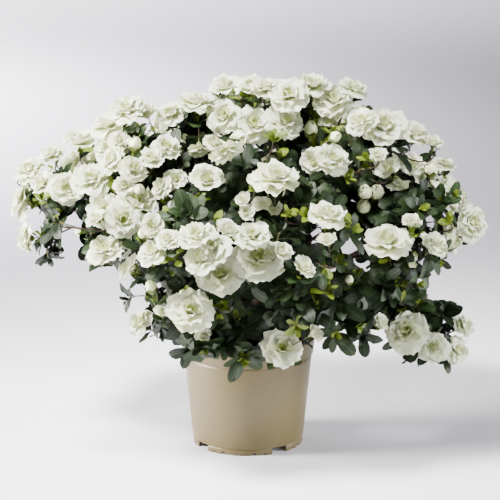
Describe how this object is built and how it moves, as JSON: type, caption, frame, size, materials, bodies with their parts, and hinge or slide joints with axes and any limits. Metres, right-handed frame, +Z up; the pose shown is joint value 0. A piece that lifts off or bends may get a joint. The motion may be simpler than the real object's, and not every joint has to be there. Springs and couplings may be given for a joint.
{
  "type": "potted azalea shrub",
  "caption": "White double-flowered azalea shrub with a round open crown on a short forked trunk, in a tapered plastic pot",
  "frame": {"origin": "middle of the pot's foot ring, on the level surface that the pot stands on", "axes": "+Z up along the pot's axis; the side of the shrub that the picture shows faces -Y; +X to the right of that view"},
  "size_m": [0.5221, 0.4382, 0.4238],
  "materials": {
    "pot": "satin",
    "compost": "matte",
    "bark": "matte",
    "blossom": "matte",
    "leaves": "satin"
  },
  "bodies": {
    "root": {"pot": "pot", "compost": "compost", "trunk": "bark", "leader_1": "bark", "leader_2": "bark", "leader_3": "bark", "bough_1": "bark", "bough_2": "bark", "bough_3": "bark", "bough_4": "bark", "bough_5": "bark", "bough_6": "bark", "foliage_crest_1": "blossom", "foliage_crest_2": "blossom", "foliage_crest_3": "blossom", "foliage_upper_1": "blossom", "foliage_upper_2": "blossom", "foliage_upper_3": "blossom", "foliage_upper_4": "blossom", "foliage_upper_5": "blossom", "foliage_upper_6": "blossom", "foliage_upper_7": "blossom", "foliage_middle_1": "blossom", "foliage_middle_2": "blossom", "foliage_middle_3": "blossom", "foliage_middle_4": "blossom", "foliage_middle_5": "blossom", "foliage_middle_6": "blossom", "foliage_middle_7": "blossom", "foliage_middle_8": "blossom", "foliage_middle_9": "blossom", "foliage_middle_10": "blossom", "foliage_lower_1": "leaves", "foliage_lower_2": "leaves", "foliage_lower_3": "leaves", "foliage_lower_4": "leaves", "foliage_lower_5": "leaves", "foliage_lower_6": "leaves", "foliage_lower_7": "leaves", "foliage_lower_8": "leaves", "foliage_skirt_1": "leaves", "foliage_skirt_2": "leaves", "foliage_skirt_3": "leaves", "foliage_skirt_4": "leaves", "foliage_skirt_5": "leaves", "foliage_skirt_6": "leaves"}
  },
  "joints": []
}
